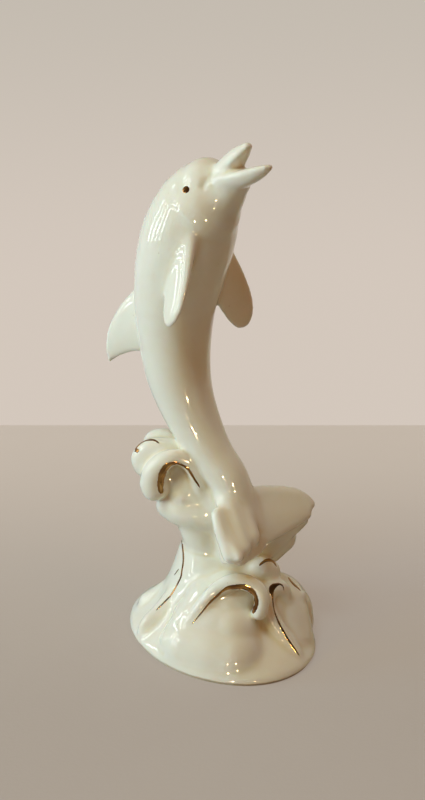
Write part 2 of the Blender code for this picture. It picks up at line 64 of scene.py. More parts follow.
# %% [markdown]
# ## The camera
# It stands a little above the figurine and looks down at it by 20 degrees. It is made first because
# some painted lines are placed by where they are seen: a sight line through a point of the picture
# meets the skin where the brush was. A long lens at a short distance gives the mild perspective.

# %% Camera
WIDTH, HEIGHT = 425, 800
PITCH = math.radians(20)
DISTANCE = 0.380
FOCAL = 1216.0
SENSOR = 36.0
TARGET = np.array((-0.0032, 0.0, 0.0829))
AHEAD = np.array((0.0, math.cos(PITCH), -math.sin(PITCH)))
UP = np.array((0.0, math.sin(PITCH), math.cos(PITCH)))
RIGHT = np.array((1.0, 0.0, 0.0))
EYE_POINT = TARGET - DISTANCE * AHEAD

camera = bpy.data.objects.new("camera", bpy.data.cameras.new("camera"))
bpy.context.scene.collection.objects.link(camera)
camera.location = EYE_POINT
camera.rotation_euler = (math.pi / 2 - PITCH, 0, 0)
camera.data.sensor_width = SENSOR
camera.data.lens = FOCAL * SENSOR / HEIGHT
camera.data.clip_start = 0.01
bpy.context.scene.camera = camera
print("lens", round(camera.data.lens, 2), "mm")


def sight_line(u, v):
    """The direction from the camera through a point of the picture."""
    way = AHEAD + (u - WIDTH / 2) / FOCAL * RIGHT - (v - HEIGHT / 2) / FOCAL * UP
    return way / np.linalg.norm(way)


# %% [markdown]
# ## Tools for soft shapes
# A potter thinks in rolls and slabs of clay. Here a roll is a limb, a tube through rows of centre and
# radius with round ends, and a slab is a blade, a thin lens-shaped section that changes along its length.
# Rows are read along a smooth curve, so a few of them are enough for a fair shape.

# %% Rows, rings and tubes
SIDES = 64
STEPS = 10
END_ANGLES = (10, 20, 30, 40, 50, 60, 70, 80)


def unit(vector):
    """The vector, or each row of vectors, at length one."""
    vector = np.asarray(vector, float)
    return vector / np.linalg.norm(vector, axis=-1, keepdims=True)


def smooth_rows(rows, steps=STEPS):
    """Rows read along a smooth curve through the given rows."""
    rows = np.array(rows, float)
    ends = np.vstack((2 * rows[0] - rows[1], rows, 2 * rows[-1] - rows[-2]))
    out = []
    for before, start, end, after in zip(ends, ends[1:], ends[2:], ends[3:]):
        for t in np.arange(steps) / steps:
            line = 2 * start + (end - before) * t
            bend = (2 * before - 5 * start + 4 * end - after) * t ** 2
            twist = (3 * start - before - 3 * end + after) * t ** 3
            out.append((line + bend + twist) / 2)
    out.append(rows[-1])
    return np.array(out)


def ellipse(centre, wide, deep):
    """A ring of points round the centre with the given half axes."""
    turn = np.linspace(0, 2 * math.pi, SIDES, endpoint=False)[:, None]
    return centre + np.cos(turn) * wide + np.sin(turn) * deep


def skin(bm, rings):
    """A closed tube through rings of points."""
    rows = [[bm.verts.new(point) for point in ring] for ring in rings]
    for low, high in zip(rows, rows[1:]):
        for k in range(len(low)):
            bm.faces.new((low[k - 1], low[k], high[k], high[k - 1]))
    bm.faces.new(rows[0][::-1])
    bm.faces.new(rows[-1])


# %% Limbs and blades
def limb(bm, rows, across=(0.0, 0.0, 1.0), flat=1.0, bulge=1.0):
    """A tapering limb with round ends, from rows of centre and radius.

    flat is its depth over its width, and bulge what its under side keeps of that depth.
    """
    path = smooth_rows(rows)
    along = unit(np.gradient(path[:, :3], axis=0))
    side = np.array(across, float)
    rings = []
    for k, (direction, row) in enumerate(zip(along, path)):
        side = unit(side - side @ direction * direction)
        deep = np.cross(direction, side)
        angles = [0]
        if k == 0:
            angles = [-angle for angle in END_ANGLES[::-1]] + angles
        if k == len(path) - 1:
            angles = angles + list(END_ANGLES)
        for angle in np.radians(angles):
            centre = row[:3] + direction * row[3] * flat * math.sin(angle)
            radius = row[3] * math.cos(angle)
            ring = ellipse(centre, side * radius, deep * radius * flat)
            under = np.minimum((ring - centre) @ deep, 0)[:, None]
            rings.append(ring - under * deep * (1 - bulge))
    skin(bm, rings)


def blade(bm, root, along, front, size, rows):
    """A fin along a direction from its root, its front edge towards another.

    size is its length, chord and thickness.
    """
    length, chord, thickness = size
    along = unit(along)
    front = unit(front - front @ along * along)
    face = np.cross(along, front)
    rings = []
    for share, lead, trail, thick in smooth_rows(rows):
        middle = root + along * share * length + front * chord * (lead + trail) / 2
        rings.append(ellipse(middle, front * chord * (lead - trail) / 2, face * thickness * thick / 2))
    skin(bm, rings)


print("tools ready:", SIDES, "points round a limb")

# %% [markdown]
# ## The dolphin
# The animal hangs in a slack S above the crest, its belly turned a little to the viewer. Its body could
# be sculpted by hand, but rows along the spine keep every girth in one table that is easy to correct.
# The head turns further than the body, and the jaws are two short limbs that are flat where they meet.

# %% Body
BODY_RADIUS = 0.0145
BELLY_TURN = math.radians(32)
SPINE = (
    (0.0090, -0.0075, 0.0440, 0.30),
    (0.0065, -0.0060, 0.0486, 0.35),
    (0.0020, -0.0040, 0.0581, 0.43),
    (-0.0030, -0.0010, 0.0644, 0.48),
    (-0.0072, 0.0020, 0.0714, 0.54),
    (-0.0116, 0.0050, 0.0811, 0.63),
    (-0.0141, 0.0070, 0.0904, 0.72),
    (-0.0150, 0.0080, 0.1000, 0.79),
    (-0.0149, 0.0080, 0.1114, 0.88),
    (-0.0132, 0.0070, 0.1228, 0.97),
    (-0.0109, 0.0050, 0.1326, 1.00),
    (-0.0082, 0.0030, 0.1408, 0.93),
    (-0.0060, 0.0012, 0.1462, 0.79),
    (-0.0044, -0.0008, 0.1494, 0.58),
)
MELON = (
    (-0.0090, 0.0034, 0.1440, 0.0108),
    (-0.0067, 0.0012, 0.1478, 0.0097),
    (-0.0050, -0.0004, 0.1500, 0.0084),
)
THROAT = (
    (-0.0055, -0.0004, 0.1430, 0.0115),
    (-0.0022, -0.0023, 0.1467, 0.0096),
    (0.0006, -0.0046, 0.1493, 0.0068),
    (0.0034, -0.0076, 0.1524, 0.0046),
)
HEAD_TURN = math.radians(48)
EYE_RADIUS = 0.0014
# Rows of the way forward, sideways and up from the last spine row, and for the mouth the fold's depth
EYE_SEAT = (0.0002, 0.0076, 0.0005)
MOUTH_FOLD = (
    (0.0113, 0.0034, 0.0072, 0.0003),
    (0.0091, 0.0037, 0.0066, 0.0004),
    (0.0067, 0.0038, 0.0054, 0.0004),
    (0.0057, 0.0046, 0.0044, 0.0004),
    (0.0050, 0.0057, 0.0033, 0.0005),
    (0.0048, 0.0064, 0.0020, 0.0006),
)
MOUTH_WIDTH = 0.0011


def level_way(turn):
    """The level direction that is turned from +X towards -Y."""
    return np.array((math.cos(turn), -math.sin(turn), 0.0))


def spine_place(share):
    """The centre, radius and direction of the body at a share of the spine."""
    path = smooth_rows(SPINE)
    along = unit(np.gradient(path[:, :3], axis=0))
    at = share * (len(path) - 1)
    low = min(int(at), len(path) - 2)
    row = path[low] + (path[low + 1] - path[low]) * (at - low)
    return row[:3], row[3] * BODY_RADIUS, along[low]


def way_out(direction, angle):
    """The way out of the body at an angle from the belly, positive to the right side."""
    belly = level_way(BELLY_TURN)
    belly = unit(belly - belly @ direction * direction)
    right = np.cross(belly, direction)
    return math.cos(angle) * belly + math.sin(angle) * right


def body_place(share, angle, lift=0.0):
    """A point on the body at a share of the spine and an angle from the belly, and the way out there."""
    centre, radius, direction = spine_place(share)
    out = way_out(direction, angle)
    return centre + out * (radius + lift), out


def head_place(forward, sideways, up):
    """A point of the head, from the end of the spine and from where the head looks."""
    ahead = level_way(HEAD_TURN)
    right = np.array((ahead[1], -ahead[0], 0.0))
    return np.array(SPINE[-1][:3]) + ahead * forward + right * sideways + np.array((0.0, 0.0, up))


def eye_place(side):
    """The middle of an eye; side is 1 for the right one and -1 for the left."""
    forward, sideways, up = EYE_SEAT
    return head_place(forward, sideways * side, up)


def add_body(bm):
    """The body with its melon, throat and eyes."""
    limb(bm, [(x, y, z, share * BODY_RADIUS) for x, y, z, share in SPINE])
    limb(bm, MELON)
    limb(bm, THROAT)
    for side in (1, -1):
        eye = bmesh.ops.create_icosphere(bm, subdivisions=3, radius=EYE_RADIUS)["verts"]
        bmesh.ops.translate(bm, verts=eye, vec=eye_place(side))


# %% Beak
UPPER_JAW = {"seat": (0.0063, 0.0026), "rise": math.radians(46), "size": (0.0163, 0.0088, 0.0106), "top": 1}
LOWER_JAW = {"seat": (0.0080, 0.0041), "rise": math.radians(18), "size": (0.0189, 0.0100, 0.0092), "top": -1}
JAW_TAPER = ((0.0, 1.0), (0.30, 0.92), (0.56, 0.80), (0.76, 0.62), (0.88, 0.44))
PALATE_BULGE = 0.25


def add_jaw(bm, seat, rise, size, top):
    """One jaw: a tapering limb with a blunt tip, nearly flat towards the other jaw; top is 1 or -1."""
    length, width, depth = size
    up = np.array((0.0, 0.0, 1.0))
    ahead = level_way(HEAD_TURN)
    root = np.array(SPINE[-1][:3]) + ahead * seat[0] + up * seat[1]
    heading = ahead * math.cos(rise) + up * math.sin(rise)
    rows = [(*(root + heading * share * length), taper * width / 2) for share, taper in JAW_TAPER]
    limb(bm, rows, np.cross(up * top, heading), depth / width, PALATE_BULGE)


def add_beak(bm):
    """Both jaws, open."""
    for jaw in (UPPER_JAW, LOWER_JAW):
        add_jaw(bm, **jaw)


# %% Fins
PECTORAL_SIZE = (0.0255, 0.0135, 0.0042)
PECTORAL_SPREAD = 0.46
PECTORAL_ROWS = (
    (-0.20, 0.50, -0.56, 1.60),
    (0.00, 0.54, -0.50, 1.35),
    (0.30, 0.54, -0.44, 1.00),
    (0.60, 0.48, -0.42, 0.74),
    (0.82, 0.36, -0.38, 0.60),
    (0.94, 0.20, -0.30, 0.46),
    (1.00, 0.02, -0.18, 0.30),
)
PECTORALS = (
    (0.80, math.radians(71), math.radians(33), 0.32),
    (0.72, math.radians(-60), math.radians(-53), 0.50),
)
DORSAL_SHARE = 0.575
DORSAL_SIZE = (0.0140, 0.0220, 0.0056)
DORSAL_ROWS = (
    (-0.40, 0.66, -0.50, 1.10),
    (0.00, 0.54, -0.50, 1.00),
    (0.30, 0.38, -0.53, 0.84),
    (0.58, 0.20, -0.60, 0.70),
    (0.80, 0.00, -0.68, 0.58),
    (0.93, -0.13, -0.74, 0.54),
    (1.00, -0.25, -0.77, 0.50),
    (1.03, -0.34, -0.74, 0.46),
)


def add_pectorals(bm):
    """The two pectoral fins, swept back along the body."""
    for share, root_angle, chord_angle, lean in PECTORALS:
        root, out = body_place(share, root_angle, -PECTORAL_SIZE[2])
        direction = spine_place(share)[2]
        along = out * PECTORAL_SPREAD + way_out(direction, 0) * lean - direction
        blade(bm, root, along, way_out(direction, chord_angle), PECTORAL_SIZE, PECTORAL_ROWS)


def add_dorsal(bm):
    """The dorsal fin, on the middle of the back."""
    root, out = body_place(DORSAL_SHARE, math.pi)
    blade(bm, root, out, spine_place(DORSAL_SHARE)[2], DORSAL_SIZE, DORSAL_ROWS)


# %% Tail flukes
FLUKE_SHARE = 0.01
FLUKE_SIZE = (0.0220, 0.0165, 0.0060)
FLUKE_EDGE_RADIUS = 0.0032
# Each roll of a fluke's edge: its inset in radii, and how many rows it follows
FLUKE_ROLLS = ((1.0, 7), (1.8, 4))
FLUKE_FRONT = (-0.57, 0.22, 0.79)
FLUKES = (
    ((-0.38, -0.88, -0.30), (
        (-0.05, 0.45, -0.50, 0.60, 0.50),
        (0.15, 0.58, -0.55, 1.00, 0.56),
        (0.34, 0.78, -0.52, 0.95, 0.62),
        (0.45, 0.70, -0.46, 0.90, 0.68),
        (0.55, 0.54, -0.40, 0.90, 0.74),
        (0.65, 0.34, -0.34, 0.85, 0.78),
        (0.74, 0.18, -0.30, 0.80, 0.78),
    )),
    ((0.93, 0.36, -0.03), (
        (-0.05, 0.50, -0.50, 0.60, 0.60),
        (0.15, 0.66, -0.50, 1.00, 0.80),
        (0.40, 0.64, -0.40, 0.90, 0.85),
        (0.68, 0.57, -0.26, 0.80, 0.80),
        (0.86, 0.45, -0.16, 0.70, 0.72),
        (0.97, 0.30, -0.10, 0.60, 0.64),
    )),
)


def add_flukes(bm):
    """The two tail flukes, each with a thick round front edge."""
    root = spine_place(FLUKE_SHARE)[0]
    front = np.array(FLUKE_FRONT)
    length, chord, _ = FLUKE_SIZE
    for way, rows in FLUKES:
        blade(bm, root, way, front, FLUKE_SIZE, [row[:4] for row in rows])
        along = unit(way)
        across = unit(front - front @ along * along)
        for inset, count in FLUKE_ROLLS:
            edge = []
            for share, lead, _, _, round_share in rows[:count]:
                radius = FLUKE_EDGE_RADIUS * round_share
                place = root + along * share * length + across * (lead * chord - radius * inset)
                edge.append((*place, radius))
            limb(bm, edge)


print("dolphin:", len(SPINE), "rows of spine,", len(PECTORALS) + len(FLUKES) + 1, "fins")

# %% [markdown]
# ## The wave
# The dolphin is carried by a breaking wave: a flared skirt on an oval foot, a column, and curls that roll
# over at their ends. On the real piece these were modelled in the plaster. Limbs of clay laid side by
# side give the same ridges, and the dips between them are filled later, when the glaze is run on.

# %% Skirt
BASE_LENGTH = 0.0726
BASE_WIDTH = 0.0562
BASE_TURN = math.radians(36)
BASE_MIDDLE = (-0.0004, 0.0008)
COLUMN_SHIFT = (-0.0050, 0.0034)
SKIRT_ROWS = (
    (-0.0030, 1.00, 0.00),
    (0.0000, 1.00, 0.00),
    (0.0022, 0.99, 0.00),
    (0.0045, 0.91, 0.05),
    (0.0080, 0.75, 0.20),
    (0.0125, 0.59, 0.42),
    (0.0180, 0.46, 0.66),
    (0.0240, 0.36, 0.86),
    (0.0300, 0.28, 1.00),
)


def add_skirt(bm):
    """The flared skirt that stands on the foot."""
    wide = np.array((math.cos(BASE_TURN), math.sin(BASE_TURN), 0.0)) * BASE_WIDTH / 2
    deep = np.array((-math.sin(BASE_TURN), math.cos(BASE_TURN), 0.0)) * BASE_LENGTH / 2
    rings = []
    for height, share, shift in smooth_rows(SKIRT_ROWS):
        middle = np.array((*(np.array(BASE_MIDDLE) + shift * np.array(COLUMN_SHIFT)), height))
        rings.append(ellipse(middle, wide * share, deep * share))
    skin(bm, rings)


# %% Ridges, curls and lobes
WAVE = {
    "column": (
        (0.0026, 0.0020, 0.0110, 0.0110),
        (-0.0036, 0.0030, 0.0199, 0.0084),
        (-0.0050, 0.0035, 0.0268, 0.0068),
        (-0.0054, 0.0035, 0.0341, 0.0076),
        (-0.0074, 0.0035, 0.0414, 0.0080),
        (-0.0095, 0.0030, 0.0490, 0.0076),
        (-0.0120, 0.0045, 0.0556, 0.0068),
        (-0.0144, 0.0070, 0.0608, 0.0055),
    ),
    "tail support": (
        (0.0020, 0.0040, 0.0137, 0.0100),
        (0.0035, 0.0020, 0.0255, 0.0090),
        (0.0038, 0.0010, 0.0350, 0.0080),
        (0.0000, 0.0010, 0.0450, 0.0062),
    ),
    "fluke facet left": (
        (-0.0024, -0.0128, 0.0484, 0.0013),
        (0.0006, -0.0184, 0.0366, 0.0015),
    ),
    "fluke facet middle": (
        (-0.0020, -0.0132, 0.0488, 0.0013),
        (0.0020, -0.0202, 0.0376, 0.0016),
    ),
    "fluke facet front": (
        (-0.0016, -0.0136, 0.0492, 0.0013),
        (0.0034, -0.0220, 0.0388, 0.0016),
    ),
    "fluke ridge": (
        (-0.0010, -0.0138, 0.0496, 0.0016),
        (0.0048, -0.0234, 0.0403, 0.0017),
    ),
    "fluke slope": (
        (0.0014, -0.0030, 0.0560, 0.0046),
        (0.0026, -0.0108, 0.0494, 0.0040),
        (0.0060, -0.0192, 0.0415, 0.0030),
    ),
    "fluke slope rear": (
        (0.0030, 0.0005, 0.0570, 0.0050),
        (0.0050, -0.0080, 0.0490, 0.0046),
        (0.0084, -0.0150, 0.0430, 0.0034),
    ),
    "far support": (
        (0.0059, 0.0040, 0.0249, 0.0074),
        (0.0142, 0.0045, 0.0302, 0.0066),
        (0.0190, 0.0050, 0.0332, 0.0056),
    ),
    "far lobe": (
        (0.0130, 0.0030, 0.0305, 0.0052),
        (0.0168, 0.0030, 0.0308, 0.0036),
        (0.0190, 0.0030, 0.0310, 0.0030),
    ),
    "fluke cushion": (
        (0.0140, 0.0000, 0.0322, 0.0046),
        (0.0200, 0.0005, 0.0362, 0.0027),
        (0.0236, 0.0010, 0.0388, 0.0024),
        (0.0262, 0.0015, 0.0408, 0.0020),
    ),
    "fluke bed": (
        (0.0080, -0.0010, 0.0395, 0.0052),
        (0.0145, -0.0010, 0.0400, 0.0044),
        (0.0205, 0.0000, 0.0412, 0.0034),
    ),
    "far rear lobe": (
        (0.0080, 0.0060, 0.0300, 0.0060),
        (0.0140, 0.0110, 0.0340, 0.0050),
        (0.0185, 0.0135, 0.0372, 0.0040),
    ),
    "crest curl": (
        (-0.0047, -0.0010, 0.0448, 0.0030),
        (-0.0063, -0.0025, 0.0521, 0.0026),
        (-0.0082, -0.0035, 0.0583, 0.0024),
        (-0.0109, -0.0035, 0.0630, 0.0024),
        (-0.0144, -0.0035, 0.0652, 0.0025),
        (-0.0181, -0.0030, 0.0637, 0.0031),
        (-0.0211, -0.0020, 0.0600, 0.0038),
        (-0.0222, -0.0010, 0.0557, 0.0044),
        (-0.0218, -0.0010, 0.0535, 0.0044),
    ),
    "side curl": (
        (-0.0142, 0.0030, 0.0641, 0.0034),
        (-0.0190, 0.0030, 0.0655, 0.0034),
        (-0.0232, 0.0040, 0.0645, 0.0036),
        (-0.0253, 0.0050, 0.0615, 0.0042),
        (-0.0250, 0.0050, 0.0592, 0.0042),
    ),
    "rear curl": (
        (-0.0130, 0.0060, 0.0640, 0.0036),
        (-0.0179, 0.0090, 0.0660, 0.0036),
        (-0.0216, 0.0100, 0.0655, 0.0036),
        (-0.0229, 0.0100, 0.0632, 0.0036),
    ),
    "low lobe": (
        (-0.0030, -0.0010, 0.0436, 0.0056),
        (-0.0095, -0.0004, 0.0446, 0.0056),
        (-0.0145, 0.0010, 0.0452, 0.0052),
        (-0.0174, 0.0016, 0.0462, 0.0043),
    ),
    "crest floor": (
        (-0.0080, 0.0030, 0.0460, 0.0062),
        (-0.0120, 0.0035, 0.0530, 0.0066),
        (-0.0155, 0.0060, 0.0590, 0.0060),
    ),
    "back rest": (
        (-0.0095, 0.0040, 0.0600, 0.0058),
        (-0.0040, 0.0015, 0.0520, 0.0068),
        (0.0000, 0.0000, 0.0450, 0.0070),
        (0.0030, -0.0010, 0.0380, 0.0066),
    ),
    "crest bulge": (
        (-0.0105, 0.0000, 0.0470, 0.0044),
        (-0.0128, -0.0010, 0.0505, 0.0036),
    ),
    "front lip": (
        (-0.0172, -0.0200, 0.0030, 0.0014),
        (-0.0128, -0.0190, 0.0103, 0.0017),
        (-0.0085, -0.0175, 0.0172, 0.0019),
        (-0.0049, -0.0166, 0.0220, 0.0021),
        (-0.0015, -0.0158, 0.0253, 0.0024),
        (0.0026, -0.0160, 0.0276, 0.0026),
        (0.0070, -0.0170, 0.0281, 0.0026),
        (0.0108, -0.0180, 0.0265, 0.0026),
        (0.0124, -0.0190, 0.0235, 0.0025),
        (0.0121, -0.0190, 0.0200, 0.0025),
        (0.0115, -0.0190, 0.0184, 0.0026),
    ),
    "front shoulder": (
        (-0.0040, -0.0080, 0.0160, 0.0080),
        (0.0020, -0.0100, 0.0200, 0.0076),
        (0.0050, -0.0108, 0.0205, 0.0062),
    ),
    "front slope": (
        (-0.0145, -0.0150, 0.0050, 0.0060),
        (-0.0095, -0.0125, 0.0130, 0.0058),
        (-0.0050, -0.0100, 0.0195, 0.0052),
    ),
    "upper face": (
        (-0.0036, -0.0090, 0.0165, 0.0086),
        (0.0014, -0.0116, 0.0165, 0.0082),
    ),
    "front face": (
        (-0.0060, -0.0115, 0.0100, 0.0106),
        (-0.0008, -0.0142, 0.0105, 0.0103),
        (0.0024, -0.0160, 0.0105, 0.0094),
    ),
    "front foot": (
        (-0.0085, -0.0150, 0.0040, 0.0110),
        (-0.0022, -0.0185, 0.0040, 0.0110),
        (0.0030, -0.0208, 0.0036, 0.0104),
    ),
    "right lip": (
        (0.0235, -0.0197, 0.0040, 0.0022),
        (0.0212, -0.0180, 0.0070, 0.0025),
        (0.0184, -0.0166, 0.0102, 0.0027),
        (0.0155, -0.0149, 0.0148, 0.0026),
        (0.0140, -0.0130, 0.0184, 0.0026),
        (0.0150, -0.0110, 0.0218, 0.0026),
        (0.0181, -0.0095, 0.0224, 0.0026),
        (0.0200, -0.0085, 0.0205, 0.0023),
        (0.0208, -0.0080, 0.0172, 0.0021),
        (0.0226, -0.0068, 0.0144, 0.0021),
        (0.0250, -0.0052, 0.0140, 0.0020),
        (0.0260, -0.0040, 0.0162, 0.0018),
    ),
    "right shoulder": (
        (0.0180, -0.0130, 0.0040, 0.0060),
        (0.0140, -0.0090, 0.0110, 0.0068),
        (0.0150, -0.0050, 0.0160, 0.0066),
    ),
    "right face": (
        (0.0205, -0.0085, 0.0030, 0.0098),
        (0.0205, -0.0050, 0.0090, 0.0084),
        (0.0195, -0.0010, 0.0135, 0.0078),
    ),
    "right wall": (
        (0.0268, 0.0020, 0.0030, 0.0042),
        (0.0262, 0.0030, 0.0085, 0.0040),
        (0.0238, 0.0030, 0.0128, 0.0040),
        (0.0205, 0.0020, 0.0162, 0.0042),
        (0.0150, 0.0010, 0.0180, 0.0050),
    ),
    "middle curl": (
        (0.0060, -0.0030, 0.0220, 0.0055),
        (0.0102, -0.0055, 0.0262, 0.0040),
        (0.0134, -0.0070, 0.0280, 0.0036),
        (0.0155, -0.0065, 0.0266, 0.0033),
        (0.0156, -0.0065, 0.0250, 0.0030),
    ),
    "middle bump": (
        (0.0019, -0.0040, 0.0230, 0.0045),
        (0.0067, -0.0070, 0.0218, 0.0052),
        (0.0113, -0.0070, 0.0198, 0.0052),
    ),
    "left ridge": (
        (-0.0262, -0.0060, 0.0036, 0.0020),
        (-0.0245, -0.0050, 0.0064, 0.0026),
        (-0.0200, -0.0030, 0.0099, 0.0030),
        (-0.0154, 0.0000, 0.0152, 0.0030),
        (-0.0120, 0.0025, 0.0208, 0.0030),
        (-0.0104, 0.0035, 0.0262, 0.0031),
        (-0.0100, 0.0040, 0.0313, 0.0034),
    ),
    "left rear ridge": (
        (-0.0250, 0.0095, 0.0060, 0.0036),
        (-0.0186, 0.0090, 0.0106, 0.0038),
        (-0.0122, 0.0080, 0.0160, 0.0042),
    ),
    "rear ridge": (
        (-0.0090, 0.0280, 0.0050, 0.0040),
        (-0.0070, 0.0200, 0.0120, 0.0048),
        (-0.0050, 0.0110, 0.0220, 0.0056),
    ),
    "rear right ridge": (
        (0.0130, 0.0260, 0.0050, 0.0040),
        (0.0110, 0.0190, 0.0120, 0.0050),
        (0.0060, 0.0100, 0.0220, 0.0060),
    ),
}
REAR_COPIES = ("front lip", "front shoulder", "upper face", "front face")
REAR_TURN = math.radians(165)


def turned(row):
    """A row of the wave turned about the middle of the base to the rear."""
    x = row[0] - BASE_MIDDLE[0]
    y = row[1] - BASE_MIDDLE[1]
    cosine = math.cos(REAR_TURN)
    sine = math.sin(REAR_TURN)
    return (BASE_MIDDLE[0] + x * cosine - y * sine, BASE_MIDDLE[1] + x * sine + y * cosine, row[2], row[3])


def add_wave(bm):
    """The ridges, curls and lobes that rise from the skirt."""
    for rows in WAVE.values():
        limb(bm, rows)
    for name in REAR_COPIES:
        limb(bm, [turned(row) for row in WAVE[name]])


print("wave:", len(WAVE) + len(REAR_COPIES), "limbs")

# %% [markdown]
# ## One skin
# The real piece is a single casting, so the overlapping limbs become a single skin. A voxel remesh is the
# tool for that: it keeps only the outside, and its even cells take later smoothing well. Cells of half a
# millimetre are finer than anything that the glaze leaves sharp.

# %% Cast
VOXEL = 0.0005


def apply_modifiers(piece):
    """Gives the piece the mesh that its modifiers make."""
    shape = bpy.data.meshes.new_from_object(piece.evaluated_get(bpy.context.evaluated_depsgraph_get()))
    piece.modifiers.clear()
    piece.data = shape


def new_piece(name, bm):
    """A piece with the mesh of bm."""
    bmesh.ops.recalc_face_normals(bm, faces=bm.faces[:])
    mesh = bpy.data.meshes.new(name)
    bm.to_mesh(mesh)
    bm.free()
    piece = bpy.data.objects.new(name, mesh)
    bpy.context.scene.collection.objects.link(piece)
    return piece


clay = bmesh.new()
for add in (add_body, add_beak, add_pectorals, add_dorsal, add_flukes, add_skirt, add_wave):
    add(clay)
casting = new_piece("casting", clay)
cells = casting.modifiers.new("Skin", "REMESH")
cells.mode = "VOXEL"
cells.voxel_size = VOXEL
apply_modifiers(casting)
print("skin:", len(casting.data.polygons), "cells")

# %% [markdown]
# ## The glaze runs
# Glaze melts to a thick syrup in the kiln. It fills every crease and only softens the edges. A Smooth
# modifier would melt both alike, so each pass here moves a point outwards by the whole of its pull
# and inwards by a small share. How far the glaze filled is kept on the mesh, for its colour later.
# The folds at the mouth were cut in the plaster, and here they are pressed in along a row of points.

# %% Run the glaze
GLAZE_PASSES = 32
GLAZE_FILL = 1.0
GLAZE_SOFTEN = 0.15
GLAZE_SPREAD = 0.3
FULL_POOL = 0.0008


def mesh_points(mesh):
    """Every point of the mesh, one row each."""
    points = np.empty(len(mesh.vertices) * 3)
    mesh.vertices.foreach_get("co", points)
    return points.reshape(-1, 3)


def mesh_normals(mesh):
    """Every point's normal, one row each."""
    normals = np.empty(len(mesh.vertices) * 3)
    mesh.vertices.foreach_get("normal", normals)
    return normals.reshape(-1, 3)


def set_points(mesh, points):
    """Moves every point of the mesh."""
    mesh.vertices.foreach_set("co", points.ravel())
    mesh.update()


def neighbour_mean(mesh):
    """A function that gives each point the mean of what its neighbours hold."""
    count = len(mesh.vertices)
    edges = np.empty(len(mesh.edges) * 2, int)
    mesh.edges.foreach_get("vertices", edges)
    start, end = edges.reshape(-1, 2).T
    neighbours = np.bincount(np.concatenate((start, end)), minlength=count)[:, None]

    def mean(values):
        total = np.zeros_like(values)
        for column in range(values.shape[1]):
            total[:, column] += np.bincount(start, values[end, column], count)
            total[:, column] += np.bincount(end, values[start, column], count)
        return total / neighbours

    return mean


def pool_glaze(mesh):
    """Fills the creases as glaze does when it runs, and gives how far it filled each point."""
    points = mesh_points(mesh)
    mean = neighbour_mean(mesh)
    filled = np.zeros(len(points))
    for _ in range(GLAZE_PASSES):
        pull = mean(points) - points
        normal = mesh_normals(mesh)
        rise = (pull * normal).sum(1, keepdims=True)
        keep = np.where(rise > 0, GLAZE_FILL, GLAZE_SOFTEN)
        points = points + normal * rise * keep + (pull - rise * normal) * GLAZE_SPREAD
        filled += (rise * keep)[:, 0]
        set_points(mesh, points)
    return filled


def fold_mouth(mesh):
    """Presses the fold that runs back from each corner of the mouth into the skin."""
    points = mesh_points(mesh)
    press = np.zeros(len(points))
    for side in (1, -1):
        for forward, sideways, up, depth in smooth_rows(MOUTH_FOLD):
            away = np.linalg.norm(points - head_place(forward, sideways * side, up), axis=1)
            press = np.maximum(press, depth * np.exp(-(away / MOUTH_WIDTH) ** 2))
    set_points(mesh, points - mesh_normals(mesh) * press[:, None])


filled = pool_glaze(casting.data)
fold_mouth(casting.data)
pool = casting.data.attributes.new("pool", "FLOAT", "POINT")
pool.data.foreach_set("value", np.clip(filled / FULL_POOL, -1, 1))
print("glaze fills up to", round(filled.max() * 1000, 2), "mm")

# %% [markdown]
# ## The foot
# The casting stands on a flat ring that is wiped clean of glaze before the firing, or it would stick to
# the shelf. The skin is cut level, and the underside is drawn in a little and brought down to the table.

# %% Foot
FOOT_HEIGHT = 0.0010
FOOT_INSET = 0.0006
SHARP_EDGE = math.radians(45)


def cut_level(bm):
    """Cuts the casting off level at the top of its foot."""
    everything = bm.verts[:] + bm.edges[:] + bm.faces[:]
    cut = bmesh.ops.bisect_plane(
        bm, geom=everything, plane_co=(0, 0, FOOT_HEIGHT), plane_no=(0, 0, -1), clear_outer=True)
    rim = [item for item in cut["geom_cut"] if isinstance(item, bmesh.types.BMEdge)]
    return bmesh.ops.contextual_create(bm, geom=rim)["faces"]


def add_foot(bm, underside):
    """Sets the underside in a little and brings it down to the table."""
    bmesh.ops.inset_region(bm, faces=underside, thickness=FOOT_INSET, use_even_offset=True)
    foot = bmesh.ops.extrude_face_region(bm, geom=underside)["geom"]
    bmesh.ops.delete(bm, geom=underside, context="FACES")
    for item in foot:
        if isinstance(item, bmesh.types.BMVert):
            item.co.z = 0.0


base = bmesh.new()
base.from_mesh(casting.data)
add_foot(base, cut_level(base))
bmesh.ops.recalc_face_normals(base, faces=base.faces[:])
base.to_mesh(casting.data)
base.free()
print("foot at", round(mesh_points(casting.data)[:, 2].min() * 1000, 3), "mm")

# %% [markdown]
# ## Fit to the frame
# Finer cells follow the clay a little more closely than the CAD model's do, which can leave the skin a
# hair too large. It is brought in to the CAD model's box, so that the part keeps its stated size.

# %% Fit
low, high = (np.array(corner) for corner in CAD_BOX)
points = mesh_points(casting.data)
shrink = np.minimum((high - low) / (points.max(0) - points.min(0)), 1)
middle = (points.max(0) + points.min(0)) / 2
points = (points - middle) * shrink + (low + high) / 2
set_points(casting.data, points)
casting.data.shade_smooth()
casting.data.set_sharp_from_angle(angle=SHARP_EDGE)
print("shrunk by", np.round((1 - shrink) * 100, 2), "percent")

# %% [markdown]
# ## Gold lustre
# A few brush strokes of liquid gold follow the curls of the wave and fill the eyes. Gold fired on a glaze
# is a film, but a film in the same place as the skin would flicker, so each stroke is a thin closed
# ribbon that hugs the skin and is a little thicker in the middle, as a loaded brush leaves it.

